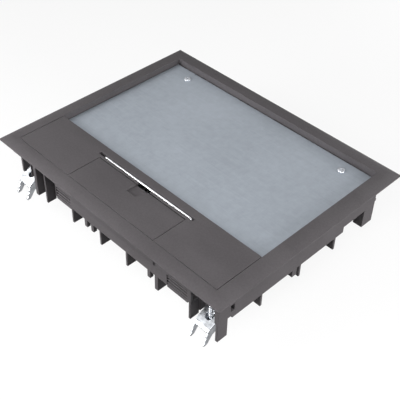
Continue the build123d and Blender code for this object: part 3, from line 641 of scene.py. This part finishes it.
def make_handle():
    """Bail bent from flat bar, with two arms and their feet."""
    low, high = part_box("lift_handle")
    x, arm_out = high[0], high[0] - HANDLE_TOE
    arm_in = arm_out - HANDLE_ARM
    toe_in = arm_in - HANDLE_TOE
    foot = low[2] + HANDLE_FOOT
    right = [(arm_out, high[2], HANDLE_BEND), (arm_out, foot, TOE_FILLET), (x, foot, TOE_CORNER),
             (x, low[2], TOE_CORNER), (toe_in, low[2], TOE_CORNER), (toe_in, foot, TOE_CORNER),
             (arm_in, foot, TOE_FILLET), (arm_in, high[2] - HANDLE_BAR, HANDLE_CROOK)]
    middle = (low[0] + high[0]) / 2
    left = [(2 * middle - u, v, r) for u, v, r in reversed(right)]
    work = bmesh.new()
    add_slab(work, rounded(right + left), low[1], high[1], lambda u, v, w: (u, w, v))
    piece = fresh("bail_handle", finished_mesh(work, "bail_handle"))
    settle(round_edges(piece, 0.45 * MM, 3), "lift_handle")


# Contacts of the outlets

SLEEVE_WALL = 0.95 * MM
SLEEVE_SLIT = 24            # degrees that each slit of a sleeve takes
STRIP_T = 0.8 * MM
STRIP_TIP = 1.6 * MM        # how far the tips of the earth arms turn in


def box_of(node_names):
    """Box about several nodes."""
    lows, highs = zip(*(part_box(n) for n in node_names))
    return (Vector(min(p[k] for p in lows) for k in range(3)),
            Vector(max(p[k] for p in highs) for k in range(3)))


def repeated(name, work, node_names, columns, rows, span):
    """Lay one part, made about its middle and of size span, in the places of its nodes."""
    part = fresh(name + "_part", finished_mesh(work, name + "_part"))
    low, high = box_of(node_names)
    middle = (low + high) / 2
    grown(name, SPREAD_PARTS, node_names, {
        "Centre": middle, "Spread X": high.x - low.x - span.x, "Spread Y": high.y - low.y - span.y,
        "Columns": columns, "Rows": rows, "Part": part})
    bpy.data.objects.remove(part)


def make_contacts():
    """Slit brass sleeves, a pair in each outlet."""
    names = ["contact_sleeves_%d" % k for k in OUTLETS]
    low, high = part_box(names[0])
    radius = (high[1] - low[1]) / 2
    pin = (high[0] - low[0]) / 2 - radius
    half = (high[2] - low[2]) / 2
    work = bmesh.new()
    for side in (-1, 1):
        for start in (0, 180):
            outline = ring_part(radius - SLEEVE_WALL, radius, start + SLEEVE_SLIT / 2,
                                180 - SLEEVE_SLIT)
            add_slab(work, outline, -half, half, lambda u, v, w: (u + side * pin, v, w))
    repeated("sleeve_set", work, names, 3, 2, Vector(high) - Vector(low))


def make_earth_clips():
    """Earth arms of each outlet, bent from one strip with their tips turned in."""
    names = ["earth_clip_%d" % k for k in OUTLETS]
    low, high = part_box(names[0])
    size = Vector(high) - Vector(low)
    y, z, t, tip = size.y / 2, size.z / 2, STRIP_T, STRIP_TIP
    end = y - 0.4 * tip
    outer = [(y, -z, 1.4 * MM), (y, z - 3 * tip, 0.8 * MM), (y - tip, z - tip, 1.0 * MM),
             (end, z, 0.1 * MM)]
    inner = [(end - t, z, 0.1 * MM), (y - tip - t, z - tip, 1.0 * MM),
             (y - t, z - 3 * tip, 0.8 * MM), (y - t, -z + t, 0.6 * MM)]
    right = outer + inner
    left = [(-u, v, r) for u, v, r in reversed(right)]
    work = bmesh.new()
    add_slab(work, rounded(right + left, 3), -size.x / 2, size.x / 2, lambda u, v, w: (w, u, v))
    repeated("earth_strip_set", work, names, 3, 2, size)


# Foam under the cord flap

FOAM_CELL = 0.9 * MM        # spacing of the cuts that give the strip its vertices
FOAM_CROWN = 0.10           # how far its long edges sink, as a share of half its height
FOAM_WAIST = 0.06           # how far its top and foot draw in, as a share of half its width
FOAM_ROUGH = 0.10 * MM
FOAM_GRAIN = 420            # waves of the cut surface a metre


def make_foam():
    """Foam strip, crowned along its edges and uneven where it was cut."""
    low, high = (Vector(p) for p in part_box("cord_seal"))
    cells = (high - low) / FOAM_CELL
    work = bmesh.new()
    bmesh.ops.create_cube(work, size=1.0)
    for vert in work.verts:
        vert.co = Vector((low[k] if vert.co[k] < 0 else high[k] for k in range(3)))
    for axis in range(3):
        step = Vector((0, 0, 0))
        step[axis] = 1.0
        count = max(2, int(cells[axis]))
        for k in range(1, count):
            cut = low + (high - low) * (k / count)
            bmesh.ops.bisect_plane(work, geom=work.verts[:] + work.edges[:] + work.faces[:],
                                   plane_co=cut, plane_no=step)
    middle = (low + high) / 2
    half = (high - low) / 2
    for vert in work.verts:
        share = Vector((vert.co[k] - middle[k]) / half[k] for k in range(3))
        edge = max(abs(share.y), abs(share.x) ** 12)
        share.z *= 1 - FOAM_CROWN * edge ** 4
        share.y *= 1 - FOAM_WAIST * abs(share.z) ** 3
        spot = middle + Vector(share[k] * half[k] for k in range(3))
        rough = noise.noise_vector(vert.co * FOAM_GRAIN) * FOAM_ROUGH
        vert.co = Vector(min(max(spot[k] + rough[k], low[k]), high[k]) for k in range(3))
    piece = fresh("outlet_foam_strip", finished_mesh(work, "outlet_foam_strip"))
    shaded(piece.data, 60)
    settle(piece, "cord_seal")


# Camera, floor and lamps

CAMERA_TURN, CAMERA_RISE, CAMERA_ROLL = 44.72, 41.94, 1.47      # degrees, solved from the photo
CAMERA_RUN = 0.66922
CAMERA_SHIFT = (0.00319, -0.03536)      # sideways and up in the picture
PHOTO_PX, FOCAL_PX = 400, 800.17
SENSOR = 36
FLOOR_HALF = 4
WORLD_LIGHT = 0.04
OVERHEAD_GLOSS = 0.6
FLOOR_LIGHT = 0.12          # what the floor gives back as light
FLOOR_LOOK = 0.90           # what it looks like
FLOOR_GLOSS = 0.4           # what a gloss sees of its glow
FLOOR_GLOW = 0.86


def place_camera():
    """Camera of the photograph, about the middle of the floor surface."""
    az, el, roll = (math.radians(a) for a in (CAMERA_TURN, CAMERA_RISE, CAMERA_ROLL))
    back = Vector((math.sin(az) * math.cos(el), -math.cos(az) * math.cos(el), math.sin(el)))
    right = Vector((math.cos(az), math.sin(az), 0))
    up = back.cross(right)
    side = math.cos(roll) * right + math.sin(roll) * up
    top = -math.sin(roll) * right + math.cos(roll) * up
    spot = (CAMERA_RUN * back + CAMERA_SHIFT[0] * side + CAMERA_SHIFT[1] * top
            + Vector((0, 0, FLOOR_H)))
    data = bpy.data.cameras.new("camera")
    data.sensor_width = SENSOR
    data.lens = SENSOR * FOCAL_PX / PHOTO_PX
    data.clip_start = 0.01
    camera = fresh("camera", data)
    camera.matrix_world = Matrix((
        (side.x, top.x, back.x, spot.x),
        (side.y, top.y, back.y, spot.y),
        (side.z, top.z, back.z, spot.z),
        (0, 0, 0, 1)))
    bpy.context.scene.camera = camera


def lamp(name, spot, size, power):
    """Soft box that faces the middle of the floor surface."""
    data = bpy.data.lights.new(name, "AREA")
    data.shape = "RECTANGLE"
    data.size, data.size_y = size
    data.energy = power
    light = fresh(name, data)
    light.location = spot
    light.rotation_mode = "QUATERNION"
    aim = Vector((0, 0, FLOOR_H))
    light.rotation_quaternion = (Vector(spot) - aim).to_track_quat("Z", "Y")


def seen_directly(tree):
    """1 for the camera, a gloss or a glass, 0 where only light is gathered."""
    path = tree.nodes.new("ShaderNodeLightPath")
    both = calc(tree, "MAXIMUM", path.outputs["Is Camera Ray"], path.outputs["Is Glossy Ray"])
    return calc(tree, "MAXIMUM", both, path.outputs["Is Transmission Ray"])


def make_world():
    """White surroundings that grow greyer overhead for gloss, and give little light."""
    world = bpy.data.worlds.new("studio")
    bpy.context.scene.world = world
    world.use_nodes = True
    tree = world.node_tree
    tree.nodes.clear()
    out = tree.nodes.new("ShaderNodeOutputWorld")
    look = tree.nodes.new("ShaderNodeTexCoord").outputs["Generated"]
    rise = put(tree, "ShaderNodeSeparateXYZ", {0: look}).outputs[2]
    sky = between(tree, rise, 0.05, 0.8, 1.0, OVERHEAD_GLOSS)
    camera_ray = tree.nodes.new("ShaderNodeLightPath").outputs["Is Camera Ray"]
    level = calc(tree, "MAXIMUM", sky, camera_ray)
    shown = put(tree, "ShaderNodeBackground", {"Color": WHITE, "Strength": level}).outputs[0]
    lit = put(tree, "ShaderNodeBackground", {"Color": WHITE, "Strength": WORLD_LIGHT}).outputs[0]
    mix = put(tree, "ShaderNodeMixShader", {0: seen_directly(tree), 1: lit, 2: shown})
    tree.links.new(mix.outputs[0], out.inputs[0])


def make_floor():
    """Pale floor that keeps the object's shadow and throws little light back up."""
    mesh = bpy.data.meshes.new("floor")
    corners = [(x * FLOOR_HALF, y * FLOOR_HALF, 0) for x, y in ((-1, -1), (1, -1), (1, 1), (-1, 1))]
    mesh.from_pydata(corners, [], [(0, 1, 2, 3)])
    floor = fresh("floor", mesh)
    mat = bpy.data.materials.new("pale_floor")
    mat.use_nodes = True
    tree = mat.node_tree
    tree.nodes.clear()
    out = tree.nodes.new("ShaderNodeOutputMaterial")
    direct = seen_directly(tree)
    grey, pale = ((level, level, level, 1) for level in (FLOOR_LIGHT, FLOOR_LOOK))
    matt = put(tree, "ShaderNodeBsdfDiffuse", {"Color": mixed(tree, direct, grey, pale)})
    camera_ray = tree.nodes.new("ShaderNodeLightPath").outputs["Is Camera Ray"]
    shine = between(tree, camera_ray, 0.0, 1.0, FLOOR_GLOSS, 1.0)
    glow = put(tree, "ShaderNodeEmission", {"Color": WHITE, "Strength": shine})
    share = calc(tree, "MULTIPLY", direct, FLOOR_GLOW)
    mix = put(tree, "ShaderNodeMixShader", {0: share, 1: matt.outputs[0], 2: glow.outputs[0]})
    tree.links.new(mix.outputs[0], out.inputs[0])
    mesh.materials.append(mat)


# Place, size and power of each soft box
LAMPS = {
    "right_softbox": ((0.578, 0.102, 0.193), (0.26, 0.26), 3.2),
    "rear_softbox": ((0.0, 0.587, 0.193), (0.26, 0.26), 0.7),
    "low_front_softbox": ((-0.201, -0.551, 0.193), (0.26, 0.26), 2.5),
    "front_softbox": ((-0.341, -0.406, 0.350), (0.26, 0.26), 2.2),
    "key_softbox": ((0.273, -0.325, 0.492), (0.26, 0.26), 2.0),
    "plate_sheen": ((-0.42, 0.22, 0.68), (0.60, 0.16), 0.35),
}

place_camera()
make_world()
make_floor()
for name, (spot, size, power) in LAMPS.items():
    lamp(name, spot, size, power)
bpy.context.scene.view_settings.view_transform = "Standard"


# The piece for each node, edge radii by how the part is made
BODY_EDGE = 0.25 * MM
PART_EDGE = 0.2 * MM
SHEET_EDGE = 0.15 * MM
PIN_EDGE = 0.1 * MM
NUT_EDGE = 0.4 * MM
OUTLET_EDGE = 0.3 * MM

eased("mounting_frame", BODY_EDGE)
eased("lid_base", PART_EDGE)
eased("cord_flap", PART_EDGE)
eased("lid_plate", SHEET_EDGE)
for corner in CORNERS:
    eased("claw_" + corner, PART_EDGE)
    eased("claw_nut_" + corner, NUT_EDGE)
    screws("claw_screw_" + corner, 1, 1, CLAW_SCREW)
for side in ("left", "right"):
    eased("latch_" + side, PART_EDGE)
    eased("latch_cover_" + side, PART_EDGE)
    eased("handle_guide_" + side, PART_EDGE)
for row in ROWS:
    eased("device_cup_" + row, BODY_EDGE)
    eased("socket_carrier_" + row, PART_EDGE)
    screws("cup_screws_" + row, 2, 2, CUP_SCREW)
    screws("carrier_screws_" + row, 2, 2, CARRIER_SCREW)
for number in OUTLETS:
    eased("socket_%d" % number, OUTLET_EDGE)
eased("hinge_pins", SHEET_EDGE)
eased("flap_pins", PIN_EDGE)
screws("plate_screws", 2, 1, PLATE_SCREW)
make_handle()
make_contacts()
make_earth_clips()
make_foam()
